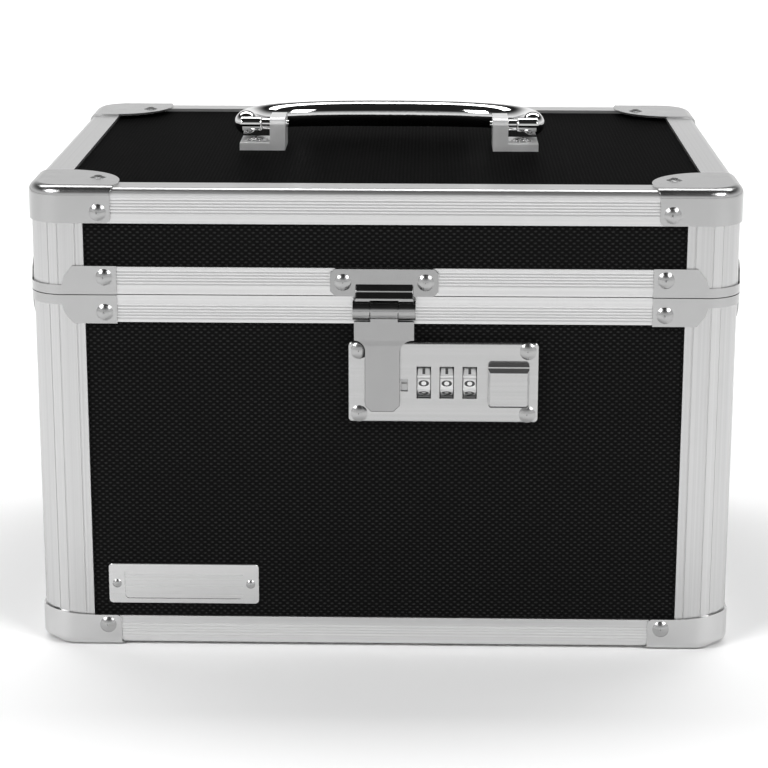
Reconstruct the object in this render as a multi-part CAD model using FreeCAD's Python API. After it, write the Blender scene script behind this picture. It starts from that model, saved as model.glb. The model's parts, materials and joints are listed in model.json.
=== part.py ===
"""Aluminium-framed cash box with a combination hasp lock and a folding carry handle."""

import FreeCAD, Part
import math
import os

V = FreeCAD.Vector
X_AXIS = V(1, 0, 0)
Y_AXIS = V(0, 1, 0)
Z_AXIS = V(0, 0, 1)
TINY = 1e-6

# Overall frame, over the aluminium extrusions
WIDTH = 250.0
DEPTH = 188.0
FRAME_TOP = 170.0
CAP_T = 0.8
FRAME_BOTTOM = CAP_T
SEAM_Z = 132.1
SEAM_GAP = 0.3
CORNER_R = 12.0
EDGE_R = 2.5

# Hasp and hinge barrels stand out in front and behind
HASP_BARREL_R = 3.4
HASP_BARREL_OFF = 0.6
HINGE_BARREL_R = 2.6
HINGE_BARREL_OFF = 0.4
FRONT_PROUD = 2 * HASP_BARREL_R + HASP_BARREL_OFF
BACK_PROUD = 2 * HINGE_BARREL_R + HINGE_BARREL_OFF
FRONT_Y = FRONT_PROUD - (DEPTH + FRONT_PROUD + BACK_PROUD) / 2
BACK_Y = FRONT_Y + DEPTH
MID_Y = (FRONT_Y + BACK_Y) / 2

# Extrusions
SKIN_T = 1.2
RAIL_H = 12.4
RIM_RAIL_H = 9.8
BOTTOM_RAIL_H = 10.8
FLANGE_W = 11.5
POST_W = 19.5
POST_BLOCK = 12.0
RIB_DEPTH = 0.14
RIB_PITCH = 1.1
RIBS = 5
RIM_RIB_RISE = 6.0
POST_GROOVE_U = (7.0, 10.4, 16.6)
POST_GROOVE_R = 0.2
LIP_H = 2.5
LIP_T = 1.2
LIP_V = 3.4
GROOVE_PLAY = 0.3

# Boards and lining
BOARD_T = 4.0
LINING_T = 2.0
BOARD_IN = SKIN_T + BOARD_T
LINING_IN = BOARD_IN + LINING_T
FLOOR_CORNER_R = 14.0

# Corner caps and rim corners
CAP_REACH = 29.4
CAP_H = 13.0
CAP_LOBE_R = 22.5
CAP_LOBE_C = 9.0
CAP_TIP_R = 1.8
CAP_BOTTOM_H = 12.0
CAP_COLUMN_H = 20.0
CAP_PEAK_D = 13.4
CAP_PEAK_R = 28.0
CAP_PEAK_RISE = 2.0
KEEL_D = 9.6
KEEL_R = 5.2
CORNER_BLOCK = 60.0
RIM_REACH = 31.0
RIM_TAB_H = 10.2
RIM_TAB_U = 15.5
RIM_STRIP_U = 12.5
RIM_STRIP_U0 = 11.5
RIM_STRIP_H = 3.3
RIM_FOOT_H = 6.5

# Rivets
RIVET_HEAD_R = 3.0
RIVET_HEAD_H = 1.2
RIVET_SHANK_R = 1.5
TOP_CAP_RIVET_U = 25.0
TOP_CAP_RIVET_Z = 161.6
BOTTOM_CAP_RIVET_U = 24.5
BOTTOM_CAP_RIVET_Z = 8.3
RIM_RIVET_U = 26.6
RIM_RIVET_RISE = 6.3
TOP_RIVET_X = WIDTH / 2 - 23.0
TOP_RIVET_V = 17.0
TOP_RIVET_HEAD_H = 0.6

# Hinges
HINGE_X = 72.0
HINGE_W = 44.0
HINGE_LEAF_T = 1.2
HINGE_LEAF_H = 22.0
HINGE_CLEAR = 2.9
HINGE_PIN_R = 1.2
HINGE_Y = BACK_Y + HINGE_BARREL_R + HINGE_BARREL_OFF
HINGE_RIVET_DX = 14.0
HINGE_RIVET_RISE = 15.0
RUN_FIT = 0.05

# Hasp
HASP_Y = FRONT_Y - HASP_BARREL_R - HASP_BARREL_OFF
HASP_Z = 128.0
HASP_PIN_R = 1.5
HASP_PLATE_W = 38.0
HASP_PLATE_T = 1.5
HASP_STEP_W = 22.0
HOOD_W = 20.4
HOOD_RISE = 4.4
HOOD_SET = 2.6
HOOD_LEDGE = 0.5
HOOD_R = 0.5
HASP_KNUCKLE_W = 9.5
HASP_RIVET_X = 14.5
HASP_RIVET_Z = 137.3
LEAF_T = 1.7
LEAF_BACK = 3.6
LEAF_W = 21.0
LEAF_TOP_Z = 124.2
LEAF_WIDE_Z = 117.5
LEAF_FILLET = 4.2
LEAF_STEP = 0.7
LEAF_SLOPE_H = 2.2
LEAF_EDGE_R = 0.5
TONGUE_W = 12.3
TONGUE_X = -0.6
TONGUE_Z = 91.2
TONGUE_CORNER = 2.2
EAR_W = 5.0
EAR_DEPTH = 5.0
EAR_Z0 = 98.0
EAR_Z1 = 103.5
EAR_HOLE_R = 1.0
EAR_EYE_DEPTH = 3.2
EAR_DROP = 0.7

# Lock
LOCK_X = 20.9
LOCK_Z = 101.3
LOCK_W = 67.3
LOCK_H = 29.3
LOCK_PROUD = 2.3
LOCK_SHEET = 1.0
LOCK_CORNER_R = 1.5
LOCK_EDGE_R = 0.85
LOCK_RIVET_DX = 29.75
LOCK_RIVET_DZ = 11.5
LOCK_RIVET_HEAD_H = 1.0
CASE_X0 = -6.6
CASE_X1 = 48.6
CASE_Z0 = 91.2
CASE_Z1 = 113.8
CASE_WALL = 1.0
CASE_BACK = 12.6
CASE_PLAY = 0.1
DIAL_X = (14.0, 22.1, 30.2)
DIAL_R = 7.0
DIAL_W = 4.6
DIAL_BACK = 3.7
DIAL_FLUTES = 10
DIAL_FLUTE_R = 0.7
DIAL_FLUTE_SET = 0.15
DIAL_CHAMFER = 0.3
DIAL_SHAFT_R = 1.6
WINDOW_W = 5.1
WINDOW_H = 11.7
BEARING_X = (9.6, 33.6)
BEARING_T = 1.0
BEARING_TOP = 108.8
BUTTON_X = 43.9
BUTTON_Z = 101.0
BUTTON_W = 14.4
BUTTON_H = 16.3
BUTTON_T = 2.6
BUTTON_GAP = 0.3
BUTTON_BEVEL = 3.5
BUTTON_TOP_T = 0.5
BUTTON_LEDGE = 0.4
BUTTON_CORNER_R = 1.2
BUTTON_EDGE = 0.7
BUTTON_TRAVEL = 2.5
STEM_X = 41.5
STEM_W = 5.0
STEM_H = 8.0
SLIDE_V0 = 0.3
SLIDE_V1 = 1.5
SLIDE_Z0 = 109.2
SLIDE_Z1 = 111.6
BOLT_GAP = 0.4
BOLT_W = 2.2
BOLT_Z0 = 99.8
SLOT_X = 7.1
SLOT_Z0 = 98.0
SLOT_W = 2.5
SLOT_H = 4.6
LEVER_W = 1.9
LEVER_H = 2.4
DETENT_T = 0.4

# Name plate
PLATE_X = -72.7
PLATE_Z = 23.9
PLATE_W = 54.7
PLATE_H = 15.3
PLATE_T = 0.9
PLATE_R = 1.6
PLATE_FIELD_W = 43.0
PLATE_FIELD_H = 11.6
PLATE_FIELD_DEPTH = 0.4
PLATE_PIN_DX = 24.3
PLATE_PIN_R = 1.65
PLATE_PIN_H = 0.7

# Handle
HANDLE_Y = MID_Y - 2.0
HANDLE_Z = FRAME_TOP - SKIN_T + 9.0
POST_X0 = 39.8
POST_X1 = 45.6
POST_H = 12.4
FOOT_X1 = 57.2
FOOT_T = 2.8
BRACKET_D = 17.0
POST_TOP_R = 2.4
BARREL_X0 = 49.0
BARREL_X1 = 57.6
BARREL_R = 2.7
BARREL_EDGE = 1.0
NECK_R = 2.1
NECK_X0 = 46.0
PIVOT_R = 1.4
PIVOT_X0 = 38.8
PIVOT_X1 = 54.0
ARM_X = 55.4
ARM_SET = 3.2
GRIP_REACH = 32.8
GRIP_DROP = 1.6
GRIP_R_END = 4.6
GRIP_R_MID = 5.2
GRIP_SQUARE = 0.78
GRIP_FINE = 60
GRIP_STATIONS = 23
SCREW_X = 51.0
SCREW_HEAD_R = 4.0
SCREW_HEAD_H = 1.3
SCREW_R = 1.75
NUT_R = 3.6
NUT_H = 2.4

# Cash tray
TRAY_W = 230.0
TRAY_V0 = 16.0
TRAY_V1 = 178.0
TRAY_Z0 = 98.0
TRAY_Z1 = 128.0
TRAY_WALL = 1.6
TRAY_SPLIT_V = 78.0
COIN_CELLS = 5
NOTE_CELLS = 2
TRAY_CORNER_R = 4.0
DIVIDER_DROP = 2.0
DIVIDER_TOP = TRAY_Z1 - DIVIDER_DROP
LEDGE_L = 24.0
LEDGE_IN = 5.6
LEDGE_T = 1.6
LEDGE_V = (40.0, 148.0)

LID_Z0 = SEAM_Z + SEAM_GAP / 2
BASE_Z1 = SEAM_Z - SEAM_GAP / 2
BOARD_TOP = FRAME_TOP - SKIN_T
LID_CEILING = BOARD_TOP - BOARD_T
FLOOR_Z0 = FRAME_BOTTOM + SKIN_T
FLOOR_Z1 = FLOOR_Z0 + BOARD_T
LID_FLANGE_TOP = LID_Z0 + LIP_H + SKIN_T
BASE_FLANGE_LOW = BASE_Z1 - SKIN_T
HALF_W = WIDTH / 2
HALF_D = DEPTH / 2
QUARTER_TURNS = (0, 1, 2, 3)
SPANS = (HALF_W, HALF_D, HALF_W, HALF_D)
WALL_OFFSETS = (V(0, FRONT_Y, 0), V(HALF_W, MID_Y, 0), V(0, BACK_Y, 0), V(-HALF_W, MID_Y, 0))
CORNERS = (V(-HALF_W, FRONT_Y, 0), V(HALF_W, FRONT_Y, 0), V(HALF_W, BACK_Y, 0), V(-HALF_W, BACK_Y, 0))


def box(x0, x1, y0, y1, z0, z1):
    return Part.makeBox(x1 - x0, y1 - y0, z1 - z0, V(x0, y0, z0))


def rod(start, axis, length, radius):
    return Part.makeCylinder(radius, length, start, axis)


def fuse(shapes):
    return shapes[0].multiFuse(shapes[1:]).removeSplitter()


def group(shapes):
    return Part.makeCompound(shapes)


def prism(points, travel):
    return Part.Face(Part.makePolygon(points + points[:1])).extrude(travel)


def edges_along(shape, axis):
    return [e for e in shape.Edges if abs(e.tangentAt(e.FirstParameter).dot(axis)) > 1 - TINY]


def rounded_box(bounds, radius, axis):
    """Box with its four edges along one axis rounded."""
    block = box(*bounds)
    return block.makeFillet(radius, edges_along(block, axis))


def turned(shape, turns, place):
    """Copy of a shape turned about Z by quarter turns, then moved."""
    copy = shape.copy()
    copy.rotate(V(0, 0, 0), Z_AXIS, 90 * turns)
    copy.translate(place)
    return copy


def on_walls(maker):
    """One piece per wall; maker takes half the wall's length and works in (along, inward, up)."""
    return [turned(maker(SPANS[k]), k, WALL_OFFSETS[k]) for k in QUARTER_TURNS]


def on_corners(shape):
    return [turned(shape, k, CORNERS[k]) for k in QUARTER_TURNS]


def both_faces(shape):
    """A corner shape joined with its mirror image across the corner's diagonal."""
    return fuse([shape, shape.mirror(V(0, 0, 0), V(1, -1, 0))])


# Rails, posts and boards


def ribbed_skin(z0, z1, middle):
    """Profile points up the outer face of a rail, with fine lengthwise ribs about one level."""
    first = middle - RIBS * RIB_PITCH / 2
    points = [V(0, 0, z0), V(0, 0, first)]
    for i in range(RIBS):
        low = first + i * RIB_PITCH
        points += [V(0, RIB_DEPTH, low + RIB_PITCH / 2), V(0, 0, low + RIB_PITCH)]
    return points + [V(0, 0, z1)]


def skin_rail(half, z0, z1, middle):
    profile = ribbed_skin(z0, z1, middle) + [V(0, SKIN_T, z1), V(0, SKIN_T, z0)]
    rail = prism(profile, V(2 * (half - POST_W), 0, 0))
    rail.translate(V(POST_W - half, 0, 0))
    return rail


def edge_rail(half, z0, z1, flange_z, rounded_z):
    """L-shaped rail along a top or bottom edge of the frame."""
    reach = half - POST_W
    flange = box(-reach, reach, 0, FLANGE_W, flange_z, flange_z + SKIN_T)
    rail = fuse([skin_rail(half, z0, z1, (z0 + z1) / 2), flange])
    rim = [e for e in rail.Edges
           if abs(e.CenterOfMass.z - rounded_z) < TINY and abs(e.CenterOfMass.y) < TINY
           and abs(e.CenterOfMass.x) < TINY]
    return rail.makeFillet(EDGE_R, rim)


def top_rail(half):
    return edge_rail(half, FRAME_TOP - RAIL_H, FRAME_TOP, FRAME_TOP - SKIN_T, FRAME_TOP)


def bottom_rail(half):
    return edge_rail(half, FRAME_BOTTOM, FRAME_BOTTOM + BOTTOM_RAIL_H, FRAME_BOTTOM, FRAME_BOTTOM)


def base_rim_rail(half):
    """Rail on the base's rim, with a lip that stands up inside the lid's rim."""
    reach = half - POST_BLOCK
    skin = skin_rail(half, BASE_Z1 - RIM_RAIL_H, BASE_Z1, BASE_Z1 - RIM_RIB_RISE)
    flange = box(-reach, reach, SKIN_T, LINING_IN, BASE_FLANGE_LOW, BASE_Z1)
    lip = box(POST_W - half, half - POST_W, LIP_V, LIP_V + LIP_T, BASE_FLANGE_LOW, BASE_Z1 + LIP_H)
    return fuse([skin, flange, lip])


def plain_rim_rail(half):
    """The rim rail behind the hinges has no lip, so that the lid can swing past it."""
    reach = half - POST_BLOCK
    skin = skin_rail(half, BASE_Z1 - RIM_RAIL_H, BASE_Z1, BASE_Z1 - RIM_RIB_RISE)
    flange = box(-reach, reach, SKIN_T, LINING_IN, BASE_FLANGE_LOW, BASE_Z1)
    return fuse([skin, flange])


def lid_rim_rail(half):
    reach = half - POST_BLOCK
    skin = skin_rail(half, LID_Z0, LID_Z0 + RIM_RAIL_H, LID_Z0 + RIM_RIB_RISE)
    flange = box(-reach, reach, SKIN_T, LINING_IN, LID_Z0, LID_FLANGE_TOP)
    groove = box(-reach, reach, LIP_V - GROOVE_PLAY, LIP_V + LIP_T + GROOVE_PLAY,
                 LID_Z0 - SKIN_T, LID_FLANGE_TOP - SKIN_T + GROOVE_PLAY)
    return fuse([skin, flange]).cut(groove)


def corner_column(grow, z0, z1):
    """Solid that fills one corner of the frame, its outer faces moved out by grow."""
    block = box(-grow, CORNER_BLOCK, -grow, CORNER_BLOCK, z0, z1)
    upright = [e for e in edges_along(block, Z_AXIS)
               if e.CenterOfMass.x < CORNER_R and e.CenterOfMass.y < CORNER_R]
    return block.makeFillet(CORNER_R + grow, upright)


def rounded_column(grow, z0, z1, level):
    """Corner column with its outer edge at one level rounded."""
    column = corner_column(grow, z0, z1)
    rim = [e for e in column.Edges
           if abs(e.CenterOfMass.z - level) < TINY and min(e.CenterOfMass.x, e.CenterOfMass.y) < CORNER_R]
    return column.makeFillet(EDGE_R + grow, rim)


def corner_post(z0, z1):
    arm = box(0, POST_W, 0, SKIN_T, z0, z1)
    core = box(0, POST_BLOCK, 0, BOARD_IN, z0, z1)
    post = corner_column(0, z0, z1).common(both_faces(fuse([arm, core])))
    grooves = post_grooves(z0, z1)
    return post.cut(grooves).cut(grooves.mirror(V(0, 0, 0), V(1, -1, 0)))


def post_grooves(z0, z1):
    """Shallow grooves that run up one face of a corner post and its rounded edge."""
    grooves = []
    for u in POST_GROOVE_U:
        short = max(CORNER_R - u, 0)
        inward = CORNER_R - math.sqrt(CORNER_R ** 2 - short ** 2)
        grooves.append(rod(V(u, inward, z0), Z_AXIS, z1 - z0, POST_GROOVE_R))
    return group(grooves)


def wall_board(half, z0, z1):
    reach = half - POST_BLOCK
    return box(-reach, reach, SKIN_T, BOARD_IN, z0, z1)


def flat_board(z0, z1, radius):
    bounds = (-HALF_W + SKIN_T, HALF_W - SKIN_T, FRONT_Y + SKIN_T, BACK_Y - SKIN_T, z0, z1)
    return rounded_box(bounds, radius, Z_AXIS)


def lining(z0, z1, sheet_z0):
    """Lining glued round the inside of the walls and across the floor or the ceiling."""
    outer = box(BOARD_IN - HALF_W, HALF_W - BOARD_IN, FRONT_Y + BOARD_IN, BACK_Y - BOARD_IN, z0, z1)
    inner = box(LINING_IN - HALF_W, HALF_W - LINING_IN, FRONT_Y + LINING_IN, BACK_Y - LINING_IN, z0, z1)
    sheet = box(LINING_IN - HALF_W, HALF_W - LINING_IN, FRONT_Y + LINING_IN, BACK_Y - LINING_IN,
                sheet_z0, sheet_z0 + LINING_T)
    return fuse([outer.cut(inner), sheet])


# Corner hardware


def cap_outline(front_part, z0, z1):
    lobe = rod(V(CAP_LOBE_C, CAP_LOBE_C, z0), Z_AXIS, z1 - z0, CAP_LOBE_R)
    return fuse([both_faces(front_part), lobe])


def top_cap():
    low = FRAME_TOP + CAP_T - CAP_H
    high = FRAME_TOP + CAP_T
    shell = rounded_column(CAP_T, low, high, high).cut(rounded_column(0, low, FRAME_TOP, FRAME_TOP))
    face = box(-CAP_T, CAP_REACH, -CAP_T, FLANGE_W, low, high)
    tip = [e for e in edges_along(face, Y_AXIS)
           if abs(e.CenterOfMass.x - CAP_REACH) < TINY and abs(e.CenterOfMass.z - low) < TINY]
    return shell.common(cap_outline(face.makeFillet(CAP_TIP_R, tip), FRAME_TOP - CAP_T, high))


def across_prism(d0, d1, z0, z1):
    """Block that lies across a corner's diagonal, between two distances in from the corner."""
    inward = V(1, 1, 0).normalize()
    across = V(CAP_REACH, -CAP_REACH, 0)
    outline = [(d0, z0), (d1, z0), (d1, z1), (d0, z1)]
    block = prism([inward * d + V(0, 0, z) for d, z in outline], across * 2)
    block.translate(across * -1)
    return block


def across_rod(distance, z, radius):
    """Level cylinder that lies across a corner's diagonal."""
    middle = V(1, 1, 0).normalize() * distance + V(0, 0, z)
    across = V(CAP_REACH, -CAP_REACH, 0)
    return rod(middle - across, across, 2 * across.Length, radius)


def keeled_column(grow):
    """Corner column whose foot curves up towards the corner, with its lower rim rounded."""
    low = FRAME_BOTTOM - grow
    keel_r = KEEL_R + grow
    foot = across_prism(-KEEL_D, KEEL_D, low, low + keel_r).cut(across_rod(KEEL_D, low + keel_r, keel_r))
    column = corner_column(grow, low, CAP_COLUMN_H).cut(foot)
    rim = [e for e in column.Edges
           if min(e.CenterOfMass.x, e.CenterOfMass.y) < CORNER_R / 2 and e.CenterOfMass.z < KEEL_R]
    return column.makeFillet(EDGE_R + grow, rim)


def bottom_cap():
    shell = keeled_column(CAP_T).cut(keeled_column(0))
    face = box(-CAP_T, CAP_REACH, -CAP_T, FLANGE_W, 0, CAP_BOTTOM_H)
    tip = [e for e in edges_along(face, Y_AXIS)
           if abs(e.CenterOfMass.x - CAP_REACH) < TINY and abs(e.CenterOfMass.z - CAP_BOTTOM_H) < TINY]
    outline = cap_outline(face.makeFillet(CAP_TIP_R, tip), 0, 2 * CAP_T)
    peak = across_prism(-CAP_PEAK_D, CAP_PEAK_D, 0, CAP_BOTTOM_H + CAP_PEAK_RISE)
    peak = peak.cut(across_rod(CAP_PEAK_D, CAP_BOTTOM_H + CAP_PEAK_R, CAP_PEAK_R))
    return shell.common(fuse([outline, peak]))


def rim_corner(seam, up):
    """Riveted corner piece on one rim, its tabs reaching away from the seam by the sign of up."""
    heights = (0, 0, RIM_TAB_H, RIM_TAB_H, RIM_FOOT_H, RIM_STRIP_H, RIM_STRIP_H)
    along = (-CAP_T, RIM_REACH, RIM_REACH, RIM_TAB_U, RIM_STRIP_U, RIM_STRIP_U0, -CAP_T)
    side = [V(u, -CAP_T, seam + up * h) for u, h in zip(along, heights)]
    face = prism(side, V(0, CORNER_R, 0))
    low = min(seam, seam + up * RIM_TAB_H)
    high = max(seam, seam + up * RIM_TAB_H)
    shell = corner_column(CAP_T, low, high).cut(corner_column(0, low, high))
    return shell.common(both_faces(face))


# Rivets


def rivet(place, outward, head_r, head_h, shank_r, shank):
    """Domed head on a surface, with its shank going in."""
    sphere_r = (head_r ** 2 + head_h ** 2) / (2 * head_h)
    latitude = math.degrees(math.asin((sphere_r - head_h) / sphere_r))
    head = Part.makeSphere(sphere_r, place - outward * (sphere_r - head_h), outward, latitude, 90, 360)
    return fuse([head, shank_tool(place, outward, shank_r, shank)])


def shank_tool(place, outward, shank_r, shank):
    return rod(place - outward * shank, outward, shank, shank_r)


def corner_places(u, z, out):
    """Rivet places on both faces of every corner, with their outward directions."""
    places = []
    for sx in (-1, 1):
        for y, sy in ((FRONT_Y, -1), (BACK_Y, 1)):
            places.append((V(sx * (HALF_W - u), y + sy * out, z), V(0, sy, 0)))
            places.append((V(sx * (HALF_W + out), y - sy * u, z), V(sx, 0, 0)))
    return places


def rivets(places, head_h=RIVET_HEAD_H, shank=CAP_T + BOARD_IN):
    return [rivet(p, d, RIVET_HEAD_R, head_h, RIVET_SHANK_R, shank) for p, d in places]


def shanks(places, shank=CAP_T + BOARD_IN):
    return [shank_tool(p, d, RIVET_SHANK_R, shank) for p, d in places]


def top_places():
    return [(V(sx * TOP_RIVET_X, y, FRAME_TOP + CAP_T), Z_AXIS)
            for sx in (-1, 1) for y in (FRONT_Y + TOP_RIVET_V, BACK_Y - TOP_RIVET_V)]


def hinge_places(up):
    return [(V(sx * HINGE_X + dx, BACK_Y + HINGE_LEAF_T, SEAM_Z + up * HINGE_RIVET_RISE), Y_AXIS)
            for sx in (-1, 1) for dx in (-HINGE_RIVET_DX, HINGE_RIVET_DX)]


def lock_places():
    return [(V(LOCK_X + sx * LOCK_RIVET_DX, FRONT_Y - LOCK_PROUD, LOCK_Z + sz * LOCK_RIVET_DZ), V(0, -1, 0))
            for sx in (-1, 1) for sz in (-1, 1)]


def hasp_places():
    return [(V(sx * HASP_RIVET_X, FRONT_Y - HASP_PLATE_T, HASP_RIVET_Z), V(0, -1, 0)) for sx in (-1, 1)]


# Hinges


def hinge_leaf(x, up, knuckles):
    """One hinge leaf; up is 1 for the lid's and -1 for the base's."""
    near = SEAM_Z + up * HINGE_CLEAR
    far = SEAM_Z + up * HINGE_LEAF_H
    x0 = x - HINGE_W / 2
    plate = box(x0, x0 + HINGE_W, BACK_Y, BACK_Y + HINGE_LEAF_T, min(near, far), max(near, far))
    pieces = [plate.makeFillet(CAP_TIP_R, [e for e in edges_along(plate, Y_AXIS)
                                           if abs(e.CenterOfMass.z - far) < TINY])]
    for start, end in knuckles:
        pieces.append(rod(V(x0 + start, HINGE_Y, SEAM_Z), X_AXIS, end - start, HINGE_BARREL_R))
        pieces.append(box(x0 + start, x0 + end, BACK_Y, HINGE_Y, min(near, SEAM_Z), max(near, SEAM_Z)))
    return fuse(pieces)


def hinge_leaves(up, knuckles, bore_r):
    bores = [rod(V(x - HINGE_W / 2, HINGE_Y, SEAM_Z), X_AXIS, HINGE_W, bore_r) for x in (-HINGE_X, HINGE_X)]
    leaves = [hinge_leaf(x, up, knuckles) for x in (-HINGE_X, HINGE_X)]
    return [leaf.cut(bore) for leaf, bore in zip(leaves, bores)]


def hinge_knuckles():
    """Knuckle ranges along one hinge: the base's two and the lid's one between them."""
    third = HINGE_W / 3
    side_play = SEAM_GAP / 2
    base = ((0, third - side_play), (2 * third + side_play, HINGE_W))
    lid = ((third + side_play, 2 * third - side_play),)
    return base, lid


def hinge_pins():
    return [rod(V(x - HINGE_W / 2, HINGE_Y, SEAM_Z), X_AXIS, HINGE_W, HINGE_PIN_R)
            for x in (-HINGE_X, HINGE_X)]


# Hasp


def hasp_bracket():
    """Plate on the lid's rim that steps forward and down to two knuckles."""
    half = HASP_PLATE_W / 2
    bounds = (-half, half, FRONT_Y - HASP_PLATE_T, FRONT_Y, LID_Z0, LID_Z0 + RIM_RAIL_H)
    plate = box(*bounds)
    plate = plate.makeChamfer(CAP_TIP_R, edges_along(plate, Y_AXIS))
    step = HASP_STEP_W / 2
    face = FRONT_Y - HASP_PLATE_T
    brink = HASP_Y - HASP_BARREL_R + HOOD_SET
    ledge = (face + brink) / 2
    bend = LID_Z0 + (HOOD_RISE + HOOD_LEDGE) / 2
    outline = [(face, LID_Z0 + HOOD_RISE), (ledge, bend), (ledge, bend - HOOD_LEDGE), (brink, LID_Z0),
               (brink, HASP_Z), (HASP_Y + HASP_PIN_R, HASP_Z), (HASP_Y + HASP_PIN_R, LID_Z0),
               (face, LID_Z0)]
    hood = prism([V(-HOOD_W / 2, y, z) for y, z in outline], V(HOOD_W, 0, 0))
    brow = [e for e in hood.Edges if e.CenterOfMass.y < face - TINY and e.CenterOfMass.z > LID_Z0 + TINY]
    hood = hood.makeFillet(HOOD_R, brow)
    barrel = rod(V(-step, HASP_Y, HASP_Z), X_AXIS, HASP_STEP_W, HASP_BARREL_R)
    gap = HASP_KNUCKLE_W / 2 + SEAM_GAP
    swing = rod(V(-gap, HASP_Y, HASP_Z), X_AXIS, 2 * gap, HASP_BARREL_R + SEAM_GAP)
    bore = rod(V(-step, HASP_Y, HASP_Z), X_AXIS, HASP_STEP_W, HASP_PIN_R)
    return fuse([plate, hood, barrel]).cut(swing).cut(bore)


def hasp_pin():
    return rod(V(-HASP_STEP_W / 2, HASP_Y, HASP_Z), X_AXIS, HASP_STEP_W, HASP_PIN_R)


def leaf_side():
    """The leaf seen from the side: flat by the knuckle, then stepped back towards the lock plate."""
    tongue = FRONT_Y - LEAF_BACK
    upper = tongue - LEAF_STEP
    low = LEAF_WIDE_Z - LEAF_SLOPE_H
    points = [(upper, LEAF_TOP_Z), (upper, LEAF_WIDE_Z), (tongue, low), (tongue, TONGUE_Z),
              (tongue - LEAF_T, TONGUE_Z), (tongue - LEAF_T, low), (upper - LEAF_T, LEAF_WIDE_Z),
              (upper - LEAF_T, LEAF_TOP_Z)]
    return prism([V(-LEAF_W / 2, y, z) for y, z in points], V(LEAF_W, 0, 0))


def leaf_outline():
    """The leaf seen from the front: wide by the knuckle, then drawn in to the tongue."""
    half = LEAF_W / 2
    left = TONGUE_X - TONGUE_W / 2
    right = TONGUE_X + TONGUE_W / 2
    knee = LEAF_WIDE_Z - LEAF_FILLET
    foot = TONGUE_Z + TONGUE_CORNER
    y = FRONT_Y - FRONT_PROUD
    corners = [V(left, y, knee), V(left, y, foot), V(left + TONGUE_CORNER, y, TONGUE_Z),
               V(right - TONGUE_CORNER, y, TONGUE_Z), V(right, y, foot), V(right, y, knee)]
    shoulders = [V(half, y, LEAF_WIDE_Z), V(half, y, LEAF_TOP_Z), V(-half, y, LEAF_TOP_Z),
                 V(-half, y, LEAF_WIDE_Z)]
    edges = [Part.makeLine(a, b) for a, b in zip(corners, corners[1:])]
    edges += [Part.makeLine(a, b) for a, b in zip(shoulders, shoulders[1:])]
    edges += [shoulder(corners[-1], shoulders[0]), shoulder(shoulders[-1], corners[0])]
    return Part.Face(Part.Wire(Part.sortEdges(edges)[0])).extrude(V(0, FRONT_PROUD, 0))


def hasp_leaf():
    """Knuckle, wide shoulder and tongue of the hasp, in one bent plate."""
    plate = leaf_outline().common(leaf_side())
    front = FRONT_Y - LEAF_BACK - LEAF_T
    knee = LEAF_WIDE_Z - LEAF_FILLET
    rim = [e for e in plate.Edges if abs(e.CenterOfMass.y - front) < TINY and e.CenterOfMass.z < knee]
    plate = plate.makeFillet(LEAF_EDGE_R, rim)
    knuckle = HASP_KNUCKLE_W / 2
    barrel = rod(V(-knuckle, HASP_Y, HASP_Z), X_AXIS, HASP_KNUCKLE_W, HASP_BARREL_R)
    upper = FRONT_Y - LEAF_BACK - LEAF_STEP
    neck = box(-knuckle, knuckle, upper - LEAF_T, upper, LEAF_TOP_Z - LEAF_T, HASP_Z)
    bore = rod(V(-knuckle, HASP_Y, HASP_Z), X_AXIS, HASP_KNUCKLE_W, HASP_PIN_R + RUN_FIT)
    return fuse([plate, barrel, neck]).cut(bore)


def shoulder(start, end):
    """Concave arc from the wide part of the leaf to its tongue."""
    wide, narrow = (start, end) if start.z > end.z else (end, start)
    pull = math.sqrt(0.5)
    centre = V(wide.x, wide.y, narrow.z)
    reach = V((narrow.x - wide.x) * pull, 0, (wide.z - narrow.z) * pull)
    return Part.Arc(start, centre + reach, end).toShape()


def hasp_ear():
    """Ear on the back of the tongue, with the eye that the bolt enters."""
    y0 = FRONT_Y - LEAF_BACK
    ear = box(-EAR_W / 2, EAR_W / 2, y0, y0 + EAR_DEPTH, EAR_Z0, EAR_Z1)
    eye = rod(V(-EAR_W / 2, y0 + EAR_EYE_DEPTH, (EAR_Z0 + EAR_Z1) / 2), X_AXIS, EAR_W, EAR_HOLE_R)
    return ear.cut(eye)


# Lock


def ear_notch(y0, y1):
    """Open-topped way for the hasp's ear."""
    half = EAR_W / 2 + 2 * SEAM_GAP
    return box(-half, half, y0, y1, EAR_Z0 - EAR_DROP, CASE_Z1 + LOCK_H)


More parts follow.
